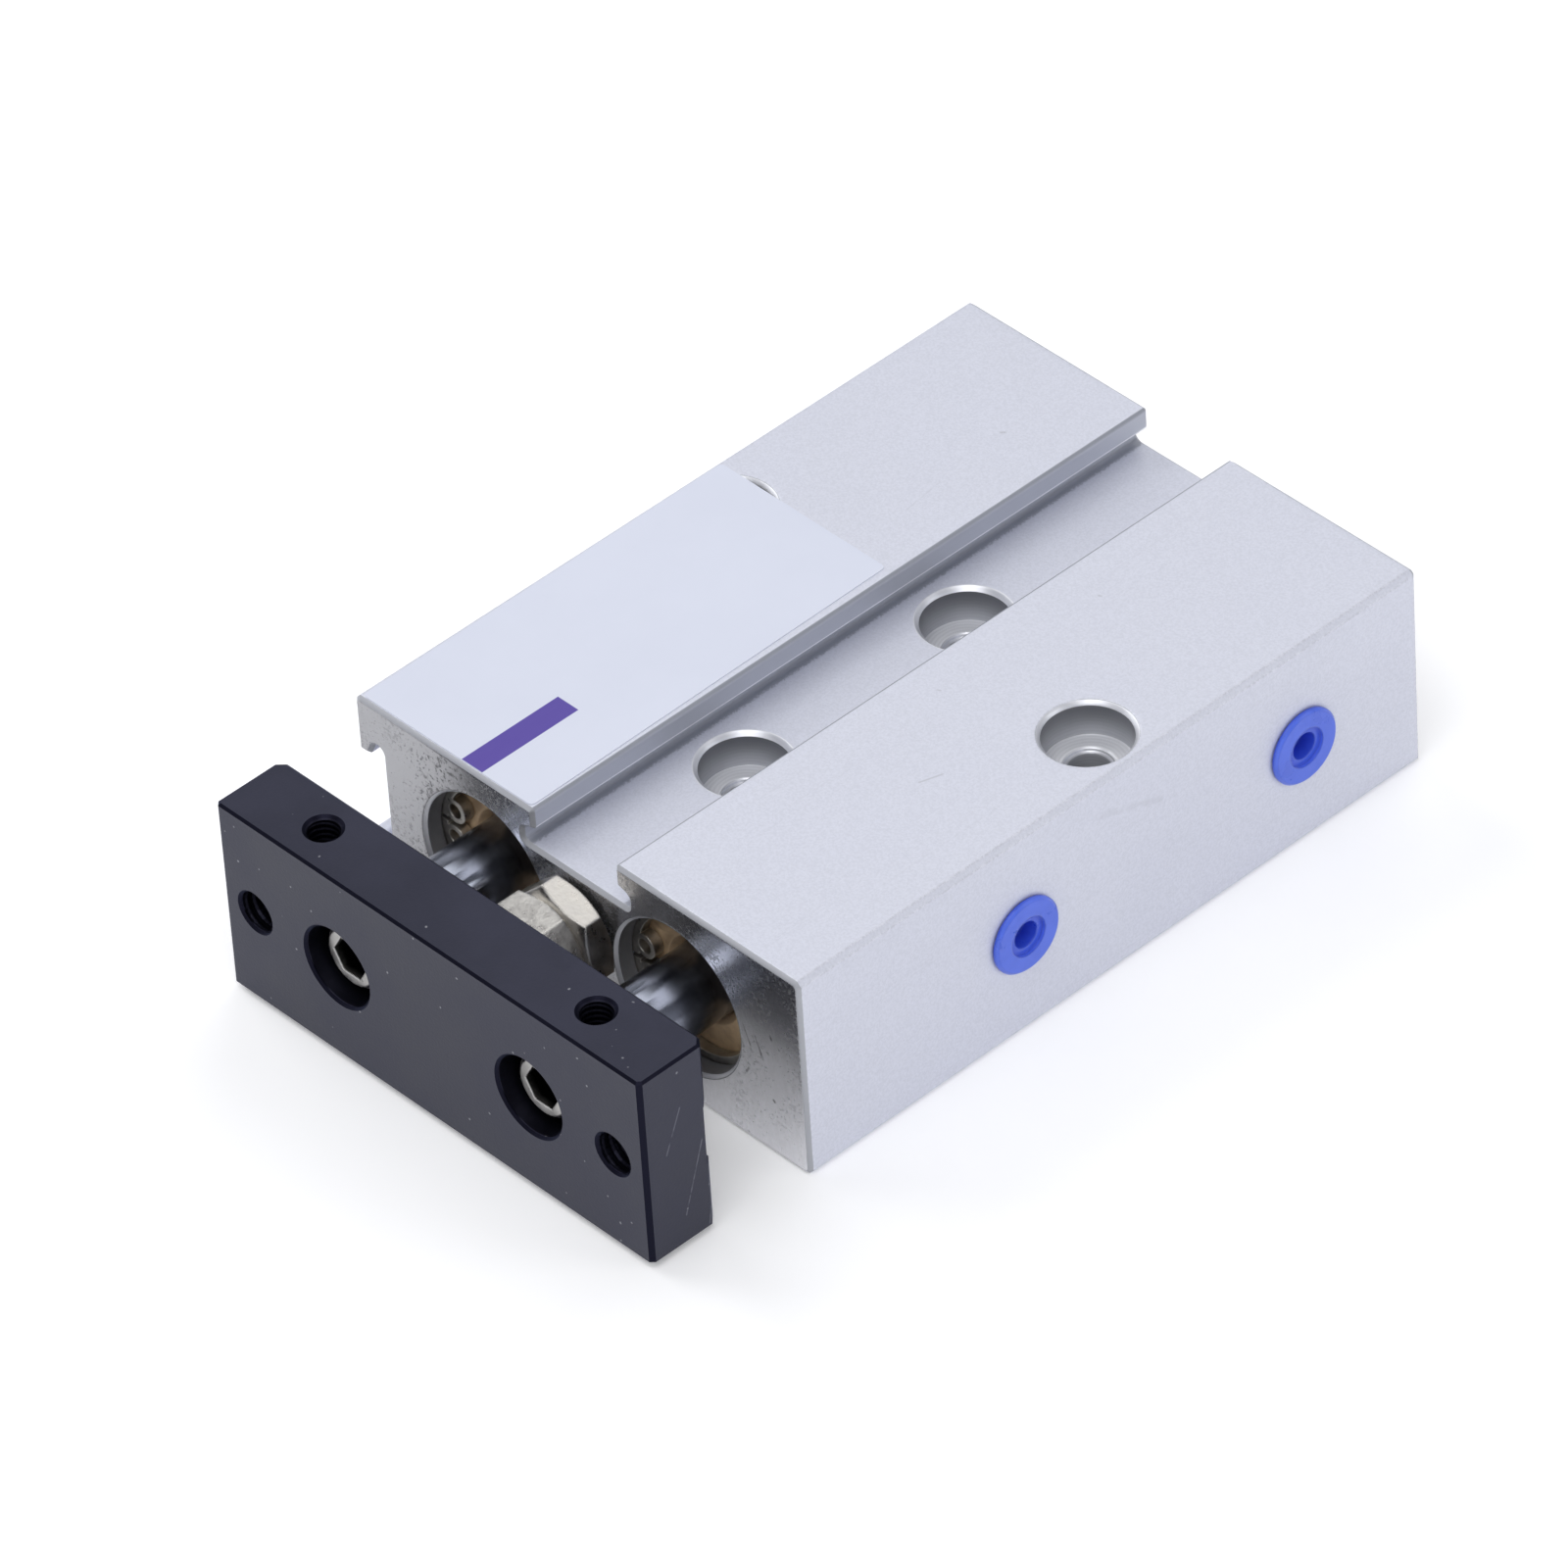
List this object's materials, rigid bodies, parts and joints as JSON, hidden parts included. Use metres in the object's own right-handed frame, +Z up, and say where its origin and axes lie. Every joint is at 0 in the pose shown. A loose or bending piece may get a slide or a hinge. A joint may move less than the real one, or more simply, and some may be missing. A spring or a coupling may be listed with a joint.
{
  "type": "twin rod pneumatic cylinder",
  "caption": "Compact guided air cylinder: a flat slotted aluminium barrel with parallel rods that push a black tool plate in and out, with a stroke stop and side air ports.",
  "frame": {"origin": "centre of the barrel's flat bottom", "axes": "+X across the barrel towards the air ports, +Y from the tool plate to the rear, +Z up"},
  "size_m": [0.0465, 0.0758, 0.018],
  "materials": {
    "barrel_aluminium": "fine matte bead-blasted clear anodised extrusion",
    "cap_aluminium": "turned aluminium",
    "bush_brass": "turned brass",
    "clip_steel": "stamped spring steel",
    "rod_chrome": "hard chromed and ground",
    "plate_black": "matte black anodised",
    "screw_steel": "plain steel",
    "stopper_nickel": "nickel plated steel",
    "plug_blue": "moulded blue plastic",
    "seal_rubber": "nitrile rubber",
    "bumper_rubber": "urethane rubber",
    "magnet_ferrite": "sintered ferrite"
  },
  "bodies": {
    "barrel": {"barrel_body": "barrel_aluminium", "left_front_circlip": "clip_steel", "right_front_circlip": "clip_steel", "left_rod_bush": "bush_brass", "right_rod_bush": "bush_brass", "left_rod_seal": "seal_rubber", "right_rod_seal": "seal_rubber", "left_bush_o_ring": "seal_rubber", "right_bush_o_ring": "seal_rubber", "left_rear_cap": "cap_aluminium", "right_rear_cap": "cap_aluminium", "left_rear_cap_o_ring": "seal_rubber", "right_rear_cap_o_ring": "seal_rubber", "left_rear_bumper": "bumper_rubber", "right_rear_bumper": "bumper_rubber", "left_rear_circlip": "clip_steel", "right_rear_circlip": "clip_steel", "front_port_plug": "plug_blue", "rear_port_plug": "plug_blue"},
    "carriage": {"left_piston_rod": "rod_chrome", "right_piston_rod": "rod_chrome", "left_piston": "cap_aluminium", "right_piston": "cap_aluminium", "left_piston_seal": "seal_rubber", "right_piston_seal": "seal_rubber", "left_magnet_ring": "magnet_ferrite", "right_magnet_ring": "magnet_ferrite", "left_piston_nut": "screw_steel", "right_piston_nut": "screw_steel", "left_front_bumper": "bumper_rubber", "right_front_bumper": "bumper_rubber", "left_plate_screw": "screw_steel", "right_plate_screw": "screw_steel", "end_plate": "plate_black", "stopper_bolt": "stopper_nickel", "stopper_lock_nut": "stopper_nickel"}
  },
  "joints": [
    {"name": "rod_slide", "type": "slide", "parent": "barrel", "child": "carriage", "axis": [0, -1, 0], "range_m": [0, 0.01]}
  ]
}
